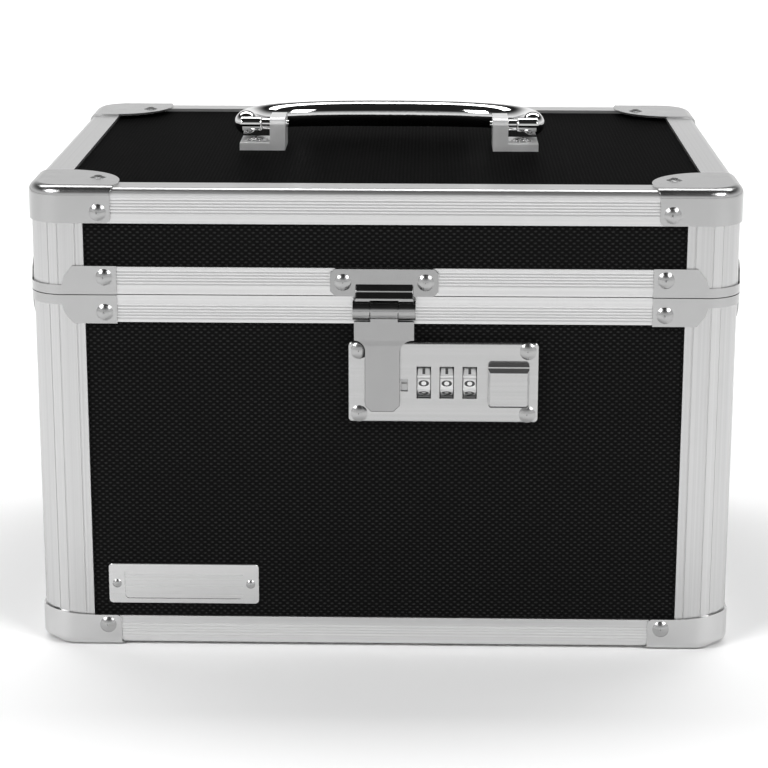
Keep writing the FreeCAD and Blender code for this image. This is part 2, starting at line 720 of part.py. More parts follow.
def lock_faceplate():
    x0 = LOCK_X - LOCK_W / 2
    x1 = LOCK_X + LOCK_W / 2
    z0 = LOCK_Z - LOCK_H / 2
    z1 = LOCK_Z + LOCK_H / 2
    y0 = FRONT_Y - LOCK_PROUD
    pan = rounded_box((x0, x1, y0, FRONT_Y + SKIN_T, z0, z1), LOCK_CORNER_R, Y_AXIS)
    rim = [e for e in pan.Edges if abs(e.CenterOfMass.y - y0) < TINY]
    pan = pan.makeFillet(LOCK_EDGE_R, rim)
    hollow = box(x0 + LOCK_SHEET, x1 - LOCK_SHEET, y0 + LOCK_SHEET, FRONT_Y + SKIN_T,
                 z0 + LOCK_SHEET, z1 - LOCK_SHEET)
    pan = pan.cut(hollow)
    for x in DIAL_X:
        pan = pan.cut(box(x - WINDOW_W / 2, x + WINDOW_W / 2, y0, FRONT_Y,
                          LOCK_Z - WINDOW_H / 2, LOCK_Z + WINDOW_H / 2))
    stem_room = box(STEM_X - STEM_W / 2 - SEAM_GAP, STEM_X + STEM_W / 2 + BUTTON_TRAVEL + SEAM_GAP,
                    y0, FRONT_Y, BUTTON_Z - STEM_H / 2 - SEAM_GAP, BUTTON_Z + STEM_H / 2 + SEAM_GAP)
    slot = box(SLOT_X - SLOT_W / 2, SLOT_X + SLOT_W / 2, y0, FRONT_Y, SLOT_Z0, SLOT_Z0 + SLOT_H)
    return pan.cut(stem_room).cut(slot).cut(ear_notch(y0, FRONT_Y + SKIN_T))


def lock_opening(play, y0, y1):
    return box(CASE_X0 - play, CASE_X1 + play, y0, y1, CASE_Z0 - play, CASE_Z1 + play)


def lock_case():
    """Box behind the face plate that holds the dials and the release slide."""
    y0 = FRONT_Y - LOCK_PROUD + LOCK_SHEET
    y1 = FRONT_Y + CASE_BACK
    outer = lock_opening(0, y0, y1)
    inner = box(CASE_X0 + CASE_WALL, CASE_X1 - CASE_WALL, y0, y1 - CASE_WALL,
                CASE_Z0 + CASE_WALL, CASE_Z1 - CASE_WALL)
    bearings = [box(x, x + BEARING_T, y0, y1 - CASE_WALL, CASE_Z0 + CASE_WALL, BEARING_TOP)
                for x in BEARING_X]
    case = fuse([outer.cut(inner)] + bearings)
    return case.cut(dial_shaft()).cut(ear_notch(y0, FRONT_Y + SKIN_T + GROOVE_PLAY))


def dial_shaft():
    start = V(BEARING_X[0], FRONT_Y + DIAL_BACK, LOCK_Z)
    return rod(start, X_AXIS, BEARING_X[1] + BEARING_T - BEARING_X[0], DIAL_SHAFT_R)


def dial(x):
    """Number wheel with a finger flute between each pair of digits."""
    centre = V(x - DIAL_W / 2, FRONT_Y + DIAL_BACK, LOCK_Z)
    wheel = rod(centre, X_AXIS, DIAL_W, DIAL_R)
    rims = [e for e in wheel.Edges if e.Closed]
    wheel = wheel.makeChamfer(DIAL_CHAMFER, rims)
    wheel = wheel.cut(rod(centre, X_AXIS, DIAL_W, DIAL_SHAFT_R + RUN_FIT))
    for i in range(DIAL_FLUTES):
        angle = 2 * math.pi * (i + 0.5) / DIAL_FLUTES
        edge = centre + V(0, math.cos(angle), math.sin(angle)) * (DIAL_R + DIAL_FLUTE_SET)
        wheel = wheel.cut(rod(edge, X_AXIS, DIAL_W, DIAL_FLUTE_R))
    return wheel


def detent_spring():
    """Leaf spring with one finger under each dial."""
    back = FRONT_Y + CASE_BACK - CASE_WALL
    z0 = CASE_Z0 + CASE_WALL
    strip = box(BEARING_X[0] + BEARING_T, BEARING_X[1], back - 2 * BEARING_T, back, z0, z0 + DETENT_T)
    fingers = [box(x - DIAL_W / 4, x + DIAL_W / 4, FRONT_Y + DIAL_BACK - BEARING_T, back, z0, z0 + DETENT_T)
               for x in DIAL_X]
    return fuse([strip] + fingers)


def release_button():
    """Thumb piece with a stepped bevel along its top, and the stem behind it."""
    y1 = FRONT_Y - LOCK_PROUD - BUTTON_GAP
    y0 = y1 - BUTTON_T
    z1 = BUTTON_Z + BUTTON_H / 2
    z0 = BUTTON_Z - BUTTON_H / 2
    x0 = BUTTON_X - BUTTON_W / 2
    x1 = BUTTON_X + BUTTON_W / 2
    block = rounded_box((x0, x1, y0, y1, z0, z1), BUTTON_CORNER_R, Y_AXIS)
    block = block.makeChamfer(BUTTON_EDGE, [e for e in block.Edges if abs(e.CenterOfMass.y - y0) < TINY])
    ledge = (y0 + y1 - BUTTON_TOP_T) / 2
    bend = z1 - (BUTTON_BEVEL + BUTTON_LEDGE) / 2
    bevel = [(y0, z1 - BUTTON_BEVEL), (ledge, bend), (ledge, bend + BUTTON_LEDGE),
             (y1 - BUTTON_TOP_T, z1), (y0, z1)]
    slope = prism([V(x0, y, z) for y, z in bevel], V(BUTTON_W, 0, 0))
    stem = box(STEM_X - STEM_W / 2, STEM_X + STEM_W / 2, y1, FRONT_Y + SLIDE_V0,
               BUTTON_Z - STEM_H / 2, BUTTON_Z + STEM_H / 2)
    return fuse([block.cut(slope), stem])


def release_slide():
    """Bar over the dials that carries the bolt to the hasp's ear."""
    y0 = FRONT_Y + SLIDE_V0
    y1 = FRONT_Y + SLIDE_V1
    nose = EAR_W / 2 + BOLT_GAP
    bar = box(nose, STEM_X + STEM_W / 2, y0, y1, SLIDE_Z0, SLIDE_Z1)
    bolt = box(nose, nose + BOLT_W, y0, y1, BOLT_Z0, SLIDE_Z1)
    arm = box(STEM_X - STEM_W / 2, STEM_X + STEM_W / 2, y0, y1, BUTTON_Z - STEM_H / 2, SLIDE_Z1)
    return fuse([bar, bolt, arm])


def reset_lever():
    """Small lever whose tip shows in the slot beside the dials."""
    z0 = SLOT_Z0 + SEAM_GAP
    tip = box(SLOT_X - LEVER_W / 2, SLOT_X + LEVER_W / 2, FRONT_Y - LOCK_PROUD + LOCK_SHEET / 2,
              FRONT_Y - GROOVE_PLAY, z0, z0 + LEVER_H)
    foot = box(SLOT_X - LEVER_W, SLOT_X + LEVER_W, FRONT_Y - LOCK_PROUD + LOCK_SHEET + SEAM_GAP,
               FRONT_Y - GROOVE_PLAY, z0 - LEVER_H, z0 + 2 * LEVER_H)
    return fuse([tip, foot])


# Name plate


def plate_places():
    y = FRONT_Y + SKIN_T - PLATE_T
    return [(V(PLATE_X + sx * PLATE_PIN_DX, y, PLATE_Z), V(0, -1, 0)) for sx in (-1, 1)]


def name_plate():
    y1 = FRONT_Y + SKIN_T
    bounds = (PLATE_X - PLATE_W / 2, PLATE_X + PLATE_W / 2, y1 - PLATE_T, y1,
              PLATE_Z - PLATE_H / 2, PLATE_Z + PLATE_H / 2)
    plate = rounded_box(bounds, PLATE_R, Y_AXIS)
    rim = [e for e in plate.Edges if abs(e.CenterOfMass.y - y1 + PLATE_T) < TINY]
    plate = plate.makeFillet(PLATE_T / 2, rim)
    field = (PLATE_X - PLATE_FIELD_W / 2, PLATE_X + PLATE_FIELD_W / 2, y1 - PLATE_T,
             y1 - PLATE_T + PLATE_FIELD_DEPTH, PLATE_Z - PLATE_FIELD_H / 2, PLATE_Z + PLATE_FIELD_H / 2)
    plate = plate.cut(rounded_box(field, PLATE_R, Y_AXIS))
    return plate.cut(group([shank_tool(p, d, PLATE_PIN_R / 2, PLATE_T) for p, d in plate_places()]))


def name_plate_pins():
    return [rivet(p, d, PLATE_PIN_R, PLATE_PIN_H, PLATE_PIN_R / 2, PLATE_T) for p, d in plate_places()]


# Handle


def screw_place(side):
    return V(side * SCREW_X, HANDLE_Y, BOARD_TOP + FOOT_T)


def handle_bracket(side):
    """L-shaped bracket with a bored post, on the right when side is 1."""
    y0 = HANDLE_Y - BRACKET_D / 2
    y1 = HANDLE_Y + BRACKET_D / 2
    foot = box(POST_X0, FOOT_X1, y0, y1, BOARD_TOP, BOARD_TOP + FOOT_T)
    bounds = (POST_X0, POST_X1, y0, y1, BOARD_TOP - POST_H, BOARD_TOP + POST_H)
    post = rounded_box(bounds, POST_TOP_R, X_AXIS)
    post = post.common(box(POST_X0, POST_X1, y0, y1, BOARD_TOP, BOARD_TOP + POST_H))
    bore = rod(V(POST_X0, HANDLE_Y, HANDLE_Z), X_AXIS, POST_X1 - POST_X0, PIVOT_R + RUN_FIT)
    bracket = fuse([foot, post]).cut(bore)
    if side < 0:
        bracket = bracket.mirror(V(0, 0, 0), X_AXIS)
    return bracket.cut(shank_tool(screw_place(side), Z_AXIS, SCREW_R, FOOT_T))


def screw_shank():
    return FOOT_T + BOARD_T + NUT_H


def handle_screws():
    return [rivet(screw_place(side), Z_AXIS, SCREW_HEAD_R, SCREW_HEAD_H, SCREW_R, screw_shank())
            for side in (-1, 1)]


def screw_tools():
    return group([shank_tool(screw_place(side), Z_AXIS, SCREW_R, screw_shank()) for side in (-1, 1)])


def nut_tools(extra):
    return [rod(V(side * SCREW_X, HANDLE_Y, LID_CEILING - NUT_H), Z_AXIS, NUT_H, NUT_R + extra)
            for side in (-1, 1)]


def grip_path():
    """Smooth centre line of the handle bar, from the right arm round to the left one."""
    points = []
    for i in range(GRIP_FINE + 1):
        angle = math.pi * i / GRIP_FINE
        across = math.copysign(abs(math.cos(angle)) ** GRIP_SQUARE, math.cos(angle))
        back = abs(math.sin(angle)) ** GRIP_SQUARE
        points.append(V(ARM_X * across, HANDLE_Y + ARM_SET + GRIP_REACH * back,
                        HANDLE_Z - GRIP_DROP * back))
    curve = Part.BSplineCurve()
    curve.interpolate(points)
    return curve


def grip_section(curve, place):
    """Round section of the handle bar, thickest at mid-grip, with its seam kept on top."""
    ahead = curve.tangent(curve.parameter(place))[0]
    middle = 1 - abs(place.x / ARM_X) ** 2
    radius = GRIP_R_END + (GRIP_R_MID - GRIP_R_END) * middle
    section = Part.makeCircle(radius)
    section.Placement = FreeCAD.Placement(place, FreeCAD.Rotation(Z_AXIS, V(0, 0, 0), ahead, "ZXY"))
    return Part.Wire(section)


def handle_grip():
    """Bowed bar between two end barrels that turn beside the brackets."""
    curve = grip_path()
    places = curve.toShape().discretize(Number=GRIP_STATIONS)
    bar = Part.makeLoft([grip_section(curve, place) for place in places], True, False)
    pieces = [bar]
    for side in (-1, 1):
        out = V(side, 0, 0)
        barrel = rod(V(side * BARREL_X0, HANDLE_Y, HANDLE_Z), out, BARREL_X1 - BARREL_X0, BARREL_R)
        pieces.append(barrel.makeFillet(BARREL_EDGE, [e for e in barrel.Edges if e.Closed]))
        pieces.append(rod(V(side * NECK_X0, HANDLE_Y, HANDLE_Z), out, BARREL_X0 - NECK_X0, NECK_R))
        pieces.append(Part.makeSphere(GRIP_R_END, V(side * ARM_X, HANDLE_Y + ARM_SET, HANDLE_Z)))
    return fuse(pieces).cut(group(handle_pivot_pins()))


def handle_pivot_pins():
    return [rod(V(side * PIVOT_X0, HANDLE_Y, HANDLE_Z), V(side, 0, 0), PIVOT_X1 - PIVOT_X0, PIVOT_R)
            for side in (-1, 1)]


# Cash tray


def cash_tray():
    """Open moulded tray."""
    bounds = (-TRAY_W / 2, TRAY_W / 2, FRONT_Y + TRAY_V0, FRONT_Y + TRAY_V1, TRAY_Z0, TRAY_Z1)
    room = (TRAY_WALL - TRAY_W / 2, TRAY_W / 2 - TRAY_WALL, FRONT_Y + TRAY_V0 + TRAY_WALL,
            FRONT_Y + TRAY_V1 - TRAY_WALL, TRAY_Z0 + TRAY_WALL, TRAY_Z1)
    outer = rounded_box(bounds, TRAY_CORNER_R + TRAY_WALL, Z_AXIS)
    return outer.cut(rounded_box(room, TRAY_CORNER_R, Z_AXIS))


def upright_dividers(count, v0, v1):
    """Dividers that part one row of the tray into count compartments."""
    pitch = (TRAY_W - TRAY_WALL) / count
    return [box(i * pitch - TRAY_W / 2, i * pitch - TRAY_W / 2 + TRAY_WALL, FRONT_Y + v0, FRONT_Y + v1,
                TRAY_Z0 + TRAY_WALL, DIVIDER_TOP) for i in range(1, count)]


def tray_dividers():
    """Drop-in dividers: one across the tray, and those of its two rows."""
    across = box(TRAY_WALL - TRAY_W / 2, TRAY_W / 2 - TRAY_WALL, FRONT_Y + TRAY_SPLIT_V,
                 FRONT_Y + TRAY_SPLIT_V + TRAY_WALL, TRAY_Z0 + TRAY_WALL, DIVIDER_TOP)
    coins = upright_dividers(COIN_CELLS, TRAY_V0 + TRAY_WALL, TRAY_SPLIT_V)
    notes = upright_dividers(NOTE_CELLS, TRAY_SPLIT_V + TRAY_WALL, TRAY_V1 - TRAY_WALL)
    return [across] + coins + notes


def tray_supports():
    """Small ledges on the side walls that the tray rests on."""
    inner = HALF_W - LINING_IN
    ledges = []
    for v in LEDGE_V:
        for side in (-1, 1):
            near = min(side * inner, side * (inner - LEDGE_IN))
            ledges.append(box(near, near + LEDGE_IN, FRONT_Y + v - LEDGE_L / 2, FRONT_Y + v + LEDGE_L / 2,
                              TRAY_Z0 - CASE_PLAY - LEDGE_T, TRAY_Z0 - CASE_PLAY))
    return ledges


# Assembly


def cap_places():
    return corner_places(BOTTOM_CAP_RIVET_U, BOTTOM_CAP_RIVET_Z, CAP_T)


def rim_places(up):
    return corner_places(RIM_RIVET_U, SEAM_Z + up * RIM_RIVET_RISE, CAP_T)


def base_nodes():
    places = cap_places() + rim_places(-1)
    holes = group(shanks(places) + shanks(hinge_places(-1), HINGE_LEAF_T + BOARD_IN)
                  + shanks(lock_places(), LOCK_PROUD + BOARD_IN))
    boards = on_walls(lambda half: wall_board(half, FLOOR_Z1, BASE_FLANGE_LOW))
    boards[0] = boards[0].cut(lock_opening(CASE_PLAY, FRONT_Y, FRONT_Y + BOARD_IN))
    rim_rails = on_walls(base_rim_rail)
    rim_rails[2] = turned(plain_rim_rail(HALF_W), 2, WALL_OFFSETS[2])
    soft = lining(FLOOR_Z1, BASE_FLANGE_LOW, FLOOR_Z1)
    soft = soft.cut(lock_opening(CASE_PLAY, FRONT_Y, FRONT_Y + CASE_BACK))
    return {
        "base_front_panel": boards[0].cut(holes),
        "base_right_panel": boards[1].cut(holes),
        "base_back_panel": boards[2].cut(holes),
        "base_left_panel": boards[3].cut(holes),
        "base_floor": flat_board(FLOOR_Z0, FLOOR_Z1, FLOOR_CORNER_R),
        "base_lining": soft,
        "base_corner_posts": group(on_corners(corner_post(FLOOR_Z1, BASE_Z1))),
        "base_bottom_rails": group(on_walls(bottom_rail)).cut(holes),
        "base_rim_rails": group(rim_rails).cut(holes),
        "base_bottom_caps": group(on_corners(bottom_cap())).cut(holes),
        "base_rim_corners": group(on_corners(rim_corner(BASE_Z1, -1))).cut(holes),
        "base_rivets": group(rivets(places)),
        "tray_supports": group(tray_supports()),
    }


def lid_nodes():
    places = corner_places(TOP_CAP_RIVET_U, TOP_CAP_RIVET_Z, CAP_T) + rim_places(1)
    top_depth = CAP_T + SKIN_T + BOARD_T
    holes = group(shanks(places) + shanks(hinge_places(1), HINGE_LEAF_T + BOARD_IN)
                  + shanks(hasp_places(), HASP_PLATE_T + BOARD_IN) + shanks(top_places(), top_depth))
    boards = on_walls(lambda half: wall_board(half, LID_FLANGE_TOP, LID_CEILING))
    ceiling = flat_board(LID_CEILING, BOARD_TOP, CORNER_R - SKIN_T)
    soft = lining(LID_FLANGE_TOP, LID_CEILING, LID_CEILING - LINING_T)
    heads = rivets(places) + rivets(top_places(), TOP_RIVET_HEAD_H, top_depth)
    return {
        "lid_front_panel": boards[0].cut(holes),
        "lid_right_panel": boards[1].cut(holes),
        "lid_back_panel": boards[2].cut(holes),
        "lid_left_panel": boards[3].cut(holes),
        "lid_top_panel": ceiling.cut(holes).cut(screw_tools()),
        "lid_lining": soft.cut(group(nut_tools(CASE_PLAY))),
        "lid_corner_posts": group(on_corners(corner_post(LID_Z0, LID_CEILING))),
        "lid_top_rails": group(on_walls(top_rail)).cut(holes),
        "lid_rim_rails": group(on_walls(lid_rim_rail)).cut(holes),
        "lid_top_caps": group(on_corners(top_cap())).cut(holes),
        "lid_rim_corners": group(on_corners(rim_corner(LID_Z0, 1))).cut(holes),
        "lid_rivets": group(heads),
    }


def hinge_nodes():
    base_knuckles, lid_knuckles = hinge_knuckles()
    base_holes = group(shanks(hinge_places(-1), HINGE_LEAF_T))
    lid_holes = group(shanks(hinge_places(1), HINGE_LEAF_T))
    depth = HINGE_LEAF_T + BOARD_IN
    return {
        "hinge_base_leaves": group(hinge_leaves(-1, base_knuckles, HINGE_PIN_R)).cut(base_holes),
        "hinge_lid_leaves": group(hinge_leaves(1, lid_knuckles, HINGE_PIN_R + RUN_FIT)).cut(lid_holes),
        "hinge_pins": group(hinge_pins()),
        "hinge_base_rivets": group(rivets(hinge_places(-1), RIVET_HEAD_H, depth)),
        "hinge_lid_rivets": group(rivets(hinge_places(1), RIVET_HEAD_H, depth)),
    }


def lock_nodes():
    depth = LOCK_PROUD + BOARD_IN
    return {
        "hasp_bracket": hasp_bracket().cut(group(shanks(hasp_places(), HASP_PLATE_T))),
        "hasp_bracket_rivets": group(rivets(hasp_places(), RIVET_HEAD_H, HASP_PLATE_T + BOARD_IN)),
        "hasp_pin": hasp_pin(),
        "hasp_leaf": hasp_leaf(),
        "hasp_ear": hasp_ear(),
        "lock_faceplate": lock_faceplate().cut(group(shanks(lock_places(), depth))),
        "lock_case": lock_case(),
        "lock_rivets": group(rivets(lock_places(), LOCK_RIVET_HEAD_H, depth)),
        "dial_shaft": dial_shaft(),
        "dial_left": dial(DIAL_X[0]),
        "dial_middle": dial(DIAL_X[1]),
        "dial_right": dial(DIAL_X[2]),
        "detent_spring": detent_spring(),
        "release_button": release_button(),
        "release_slide": release_slide(),
        "reset_lever": reset_lever(),
        "name_plate": name_plate(),
        "name_plate_pins": group(name_plate_pins()),
    }


def handle_nodes():
    return {
        "handle_grip": handle_grip(),
        "handle_pivot_pins": group(handle_pivot_pins()),
        "handle_bracket_left": handle_bracket(-1),
        "handle_bracket_right": handle_bracket(1),
        "handle_screws": group(handle_screws()),
        "handle_nuts": group([nut.cut(screw_tools()) for nut in nut_tools(0)]),
        "cash_tray": cash_tray(),
        "tray_dividers": group(tray_dividers()),
    }


os.makedirs("parts", exist_ok=True)
for nodes in (base_nodes(), lid_nodes(), hinge_nodes(), lock_nodes(), handle_nodes()):
    for name, shape in nodes.items():
        shape.exportStep("parts/" + name + ".step")
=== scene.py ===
"""Looks of the framed cash box: materials, number wheels' digits, studio and camera."""

import bpy
import bmesh
import json
import math
from mathutils import Matrix, Vector, noise


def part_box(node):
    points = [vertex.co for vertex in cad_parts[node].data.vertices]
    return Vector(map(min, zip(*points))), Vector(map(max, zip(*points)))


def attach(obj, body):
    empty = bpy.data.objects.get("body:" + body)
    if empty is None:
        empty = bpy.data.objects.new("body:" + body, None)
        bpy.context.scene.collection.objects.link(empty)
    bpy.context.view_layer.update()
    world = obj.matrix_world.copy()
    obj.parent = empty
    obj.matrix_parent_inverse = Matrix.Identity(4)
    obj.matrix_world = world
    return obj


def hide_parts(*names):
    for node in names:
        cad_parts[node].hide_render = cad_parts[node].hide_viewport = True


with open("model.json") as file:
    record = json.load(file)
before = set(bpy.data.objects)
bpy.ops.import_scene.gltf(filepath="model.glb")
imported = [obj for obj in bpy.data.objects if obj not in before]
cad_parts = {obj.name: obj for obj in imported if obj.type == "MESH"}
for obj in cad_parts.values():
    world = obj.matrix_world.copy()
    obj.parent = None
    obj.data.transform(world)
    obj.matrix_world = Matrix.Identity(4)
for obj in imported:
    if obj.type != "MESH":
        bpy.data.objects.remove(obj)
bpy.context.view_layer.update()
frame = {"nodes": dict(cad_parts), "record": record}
nodes = frame["nodes"]
MM = 0.001


# Node helpers


class Shader:
    """A material's node tree with its Principled shader, in object coordinates."""

    def __init__(self, name, colour, metallic, roughness):
        self.material = bpy.data.materials.new(name)
        self.material.use_nodes = True
        self.tree = self.material.node_tree
        self.surface = self.tree.nodes["Principled BSDF"]
        self.surface.inputs["Base Color"].default_value = (*colour, 1)
        self.surface.inputs["Metallic"].default_value = metallic
        self.surface.inputs["Roughness"].default_value = roughness
        self.place = self.tree.nodes.new("ShaderNodeTexCoord").outputs["Object"]

    def link(self, source, target):
        self.tree.links.new(source, target)

    def math(self, operation, first, second=0.0, third=0.0):
        node = self.tree.nodes.new("ShaderNodeMath")
        node.operation = operation
        for socket, value in zip(node.inputs, (first, second, third)):
            if isinstance(value, (int, float)):
                socket.default_value = value
            else:
                self.link(value, socket)
        return node.outputs[0]

    def split(self):
        node = self.tree.nodes.new("ShaderNodeSeparateXYZ")
        self.link(self.place, node.inputs[0])
        return node.outputs

    def noise(self, scale, stretch=(1, 1, 1), detail=3.0, rough=0.55):
        mapping = self.tree.nodes.new("ShaderNodeMapping")
        mapping.inputs["Scale"].default_value = stretch
        self.link(self.place, mapping.inputs[0])
        node = self.tree.nodes.new("ShaderNodeTexNoise")
        node.inputs["Scale"].default_value = scale
        node.inputs["Detail"].default_value = detail
        node.inputs["Roughness"].default_value = rough
        self.link(mapping.outputs[0], node.inputs["Vector"])
        return node.outputs["Fac"]

    def span(self, value, low, high, start=0.0, end=1.0):
        node = self.tree.nodes.new("ShaderNodeMapRange")
        for socket, number in zip(("From Min", "From Max", "To Min", "To Max"), (start, end, low, high)):
            node.inputs[socket].default_value = number
        self.link(value, node.inputs["Value"])
        return node.outputs[0]

    def mix(self, factor, first, second):
        node = self.tree.nodes.new("ShaderNodeMix")
        self.link(factor, node.inputs["Factor"])
        for socket, value in zip(("A", "B"), (first, second)):
            if isinstance(value, (int, float)):
                node.inputs[socket].default_value = value
            else:
                self.link(value, node.inputs[socket])
        return node.outputs[0]

    def colours(self, factor, first, second):
        """Base colour that goes from first to second with factor."""
        node = self.tree.nodes.new("ShaderNodeMix")
        node.data_type = "RGBA"
        self.link(factor, node.inputs["Factor"])
        node.inputs["A"].default_value = (*first, 1)
        node.inputs["B"].default_value = (*second, 1)
        self.link(node.outputs["Result"], self.surface.inputs["Base Color"])

    def roughness(self, value):
        self.link(value, self.surface.inputs["Roughness"])

    def bump(self, height, distance, strength=1.0):
        node = self.tree.nodes.new("ShaderNodeBump")
        node.inputs["Distance"].default_value = distance
        node.inputs["Strength"].default_value = strength
        self.link(height, node.inputs["Height"])
        self.link(node.outputs[0], self.surface.inputs["Normal"])


def grey(value, warm=0.0):
    return (value + warm, value, value - warm)


# Materials


ACROSS = 1400.0
ALONG = 1.5


def streaked_metal(name, low, high, rough_low, rough_high, streaks, bump):
    """Metal with fine drawn lines; streaks makes the factor from the shader."""
    shader = Shader(name, grey(high), 1.0, rough_low)
    fine = streaks(shader)
    broad = shader.noise(22.0, detail=2.0)
    factor = shader.mix(broad, fine, shader.math("MULTIPLY", fine, 0.75))
    shader.colours(factor, grey(low), grey(high))
    shader.roughness(shader.span(factor, rough_high, rough_low))
    shader.bump(fine, bump)
    return shader.material


def rail_streaks(shader):
    """Lines along X on the front and back rails, and along Y on the side rails."""
    along_x = shader.noise(1.0, (ALONG, ACROSS, ACROSS))
    along_y = shader.noise(1.0, (ACROSS, ALONG, ACROSS))
    low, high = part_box("lid_top_rails")
    side = high.x - 0.0195
    on_side = shader.math("GREATER_THAN", shader.math("ABSOLUTE", shader.split()[0]), side)
    return shader.mix(on_side, along_x, along_y)


def line_streaks(axis):
    stretch = [ACROSS] * 3
    stretch[axis] = ALONG
    return lambda shader: shader.noise(1.0, tuple(stretch))


def embossed_panel(name, across, up, dot_highlight, gloss):
    """Black laminate with staggered rows of small raised ovals, their tops coloured lighter as a painted
    highlight.
    """
    pitch, row_pitch = 2.7 * MM, 1.06 * MM
    half_w, half_h = 0.62 * MM, 0.36 * MM
    shader = Shader(name, grey(0.004), 0.0, 0.5)
    shader.surface.inputs["Specular IOR Level"].default_value = gloss
    place = shader.split()
    row = shader.math("DIVIDE", place[up], row_pitch)
    column = shader.math("DIVIDE", place[across], pitch)
    odd = shader.math("MULTIPLY", shader.math("MODULO", shader.math("FLOOR", row), 2.0), 0.5)
    du = shader.math("SUBTRACT", shader.math("FRACT", shader.math("ADD", column, odd)), 0.5)
    dv = shader.math("SUBTRACT", shader.math("FRACT", row), 0.5)
    du = shader.math("POWER", shader.math("MULTIPLY", du, pitch / half_w), 2.0)
    dv = shader.math("POWER", shader.math("MULTIPLY", dv, row_pitch / half_h), 2.0)
    oval = shader.math("SQRT", shader.math("ADD", du, dv))
    dome = shader.span(oval, 1.0, 0.0, 0.35, 1.25)
    highlight_patches = shader.noise(60.0, detail=4.0)
    lit = shader.math("MULTIPLY", dome, shader.span(highlight_patches, 0.55, 1.0))
    # painted highlight: the raised oval tops get a lighter colour than the black laminate, made patchy by
    # the noise
    shader.colours(lit, grey(dot_highlight / 14), grey(dot_highlight))
    shader.roughness(shader.span(dome, 0.6, 0.4))
    shader.bump(dome, 0.12 * MM)
    return shader.material


def plated_steel(name, tone, rough, bump=0.004):
    """Stamped and plated sheet: an even sheen with very faint waviness and rubbing."""
    shader = Shader(name, grey(tone), 1.0, rough)
    rubbed = shader.noise(160.0, detail=5.0)
    shader.colours(rubbed, grey(tone * 0.93), grey(min(1, tone * 1.05)))
    shader.roughness(shader.span(rubbed, rough * 0.8, rough * 1.25))
    shader.bump(shader.noise(70.0, detail=1.0), bump * MM)
    return shader.material


def felt_lining():
    """Short felt: matted fibres, with a soft sheen and faint patches where the nap lies over."""
    shader = Shader("felt_lining", grey(0.02), 0.0, 0.95)
    fibres = shader.noise(1500.0, (1, 1, 0.35), detail=4.0, rough=0.7)
    nap = shader.noise(30.0, detail=2.0)
    shader.colours(shader.mix(nap, fibres, shader.math("MULTIPLY", fibres, 0.7)), grey(0.012), grey(0.06))
    shader.surface.inputs["Sheen Weight"].default_value = 0.25
    shader.surface.inputs["Sheen Roughness"].default_value = 0.6
    shader.bump(fibres, 0.2 * MM)
    return shader.material


def moulded_plastic():
    shader = Shader("moulded_plastic", grey(0.015), 0.0, 0.5)
    grain = shader.noise(900.0, detail=3.0)
    shader.colours(shader.noise(14.0), grey(0.011), grey(0.02))
    shader.roughness(shader.span(grain, 0.42, 0.6))
    shader.bump(grain, 0.03 * MM)
    return shader.material


def digit_paint():
    shader = Shader("digit_paint", grey(0.02), 0.0, 0.5)
    worn = shader.noise(2500.0)
    shader.colours(worn, grey(0.012), grey(0.05))
    return shader.material


RAIL = streaked_metal("ribbed_aluminium", 0.55, 0.76, 0.24, 0.34, rail_streaks, 0.012 * MM)
POST = streaked_metal("drawn_aluminium", 0.46, 0.66, 0.24, 0.34, line_streaks(2), 0.012 * MM)
PLATE = streaked_metal("satin_nickel", 0.43, 0.53, 0.2, 0.28, line_streaks(0), 0.003 * MM)
BADGE = streaked_metal("satin_badge", 0.58, 0.68, 0.22, 0.3, line_streaks(0), 0.003 * MM)
CAP = plated_steel("plated_corner", 0.45, 0.22, 0.012)
# Lighter copy of the corner steel for the bottom caps: painted reflection of the pale floor below them
FOOT_CAP_PAINTED_REFLECTION = plated_steel("plated_foot_painted_reflection", 0.58, 0.2, 0.012)
HASP = plated_steel("plated_hardware", 0.34, 0.15, 0.01)
RIVET = plated_steel("polished_rivet", 0.4, 0.24)
BRACKET = plated_steel("satin_bracket", 0.8, 0.42)
CHROME = plated_steel("handle_chrome", 0.74, 0.05, 0.002)
DIAL = plated_steel("polished_wheel", 0.76, 0.42)
INNER = plated_steel("zinc_plated", 0.4, 0.3)
FELT = felt_lining()
TRAY = moulded_plastic()
PAINT = digit_paint()

FINISHES = {
    "frame_aluminium": RAIL,
    "corner_steel": CAP,
    "rivet_steel": RIVET,
    "hardware_nickel": HASP,
    "lock_satin": PLATE,
    "lock_inner_steel": INNER,
    "dial_metal": DIAL,
    "handle_chrome": CHROME,
    "lining_grey": FELT,
    "tray_plastic": TRAY,
}
# One laminate in lit and shaded copies: the flat (top and floor) panels get a much dimmer dot colour,
# painted shade, while the front and side panels carry the brighter painted dot highlight
PANELS = {
    "front": embossed_panel("embossed_front_lit_dots", 0, 2, 0.024, 0.06),
    "side": embossed_panel("embossed_side_lit_dots", 1, 2, 0.024, 0.06),
    "flat": embossed_panel("embossed_flat_shaded_dots", 0, 1, 0.006, 0.004),
}


SMOOTH_ANGLE = math.radians(32)


def panel_finish(name):
    if name.endswith(("top_panel", "floor")):
        return PANELS["flat"]
    return PANELS["side"] if "left" in name or "right" in name else PANELS["front"]


def dress():
    """Gives every CAD node its finish."""
    for part in frame["record"]["subparts"]:
        name, finish = part["node"], part["material_slot"]
        material = panel_finish(name) if finish == "panel_black" else FINISHES[finish]
        if "posts" in name:
            material = POST
        if name == "name_plate":
            material = BADGE
        # the bottom caps take the lighter copy of the corner steel, a painted floor reflection
        if name == "base_bottom_caps":
            material = FOOT_CAP_PAINTED_REFLECTION
        if name.startswith(("handle_bracket", "handle_nuts")):
            material = BRACKET
        mesh = nodes[name].data
        mesh.materials.clear()
        mesh.materials.append(material)
        mesh.shade_smooth()
        mesh.set_sharp_from_angle(angle=SMOOTH_ANGLE)


# Felt lining


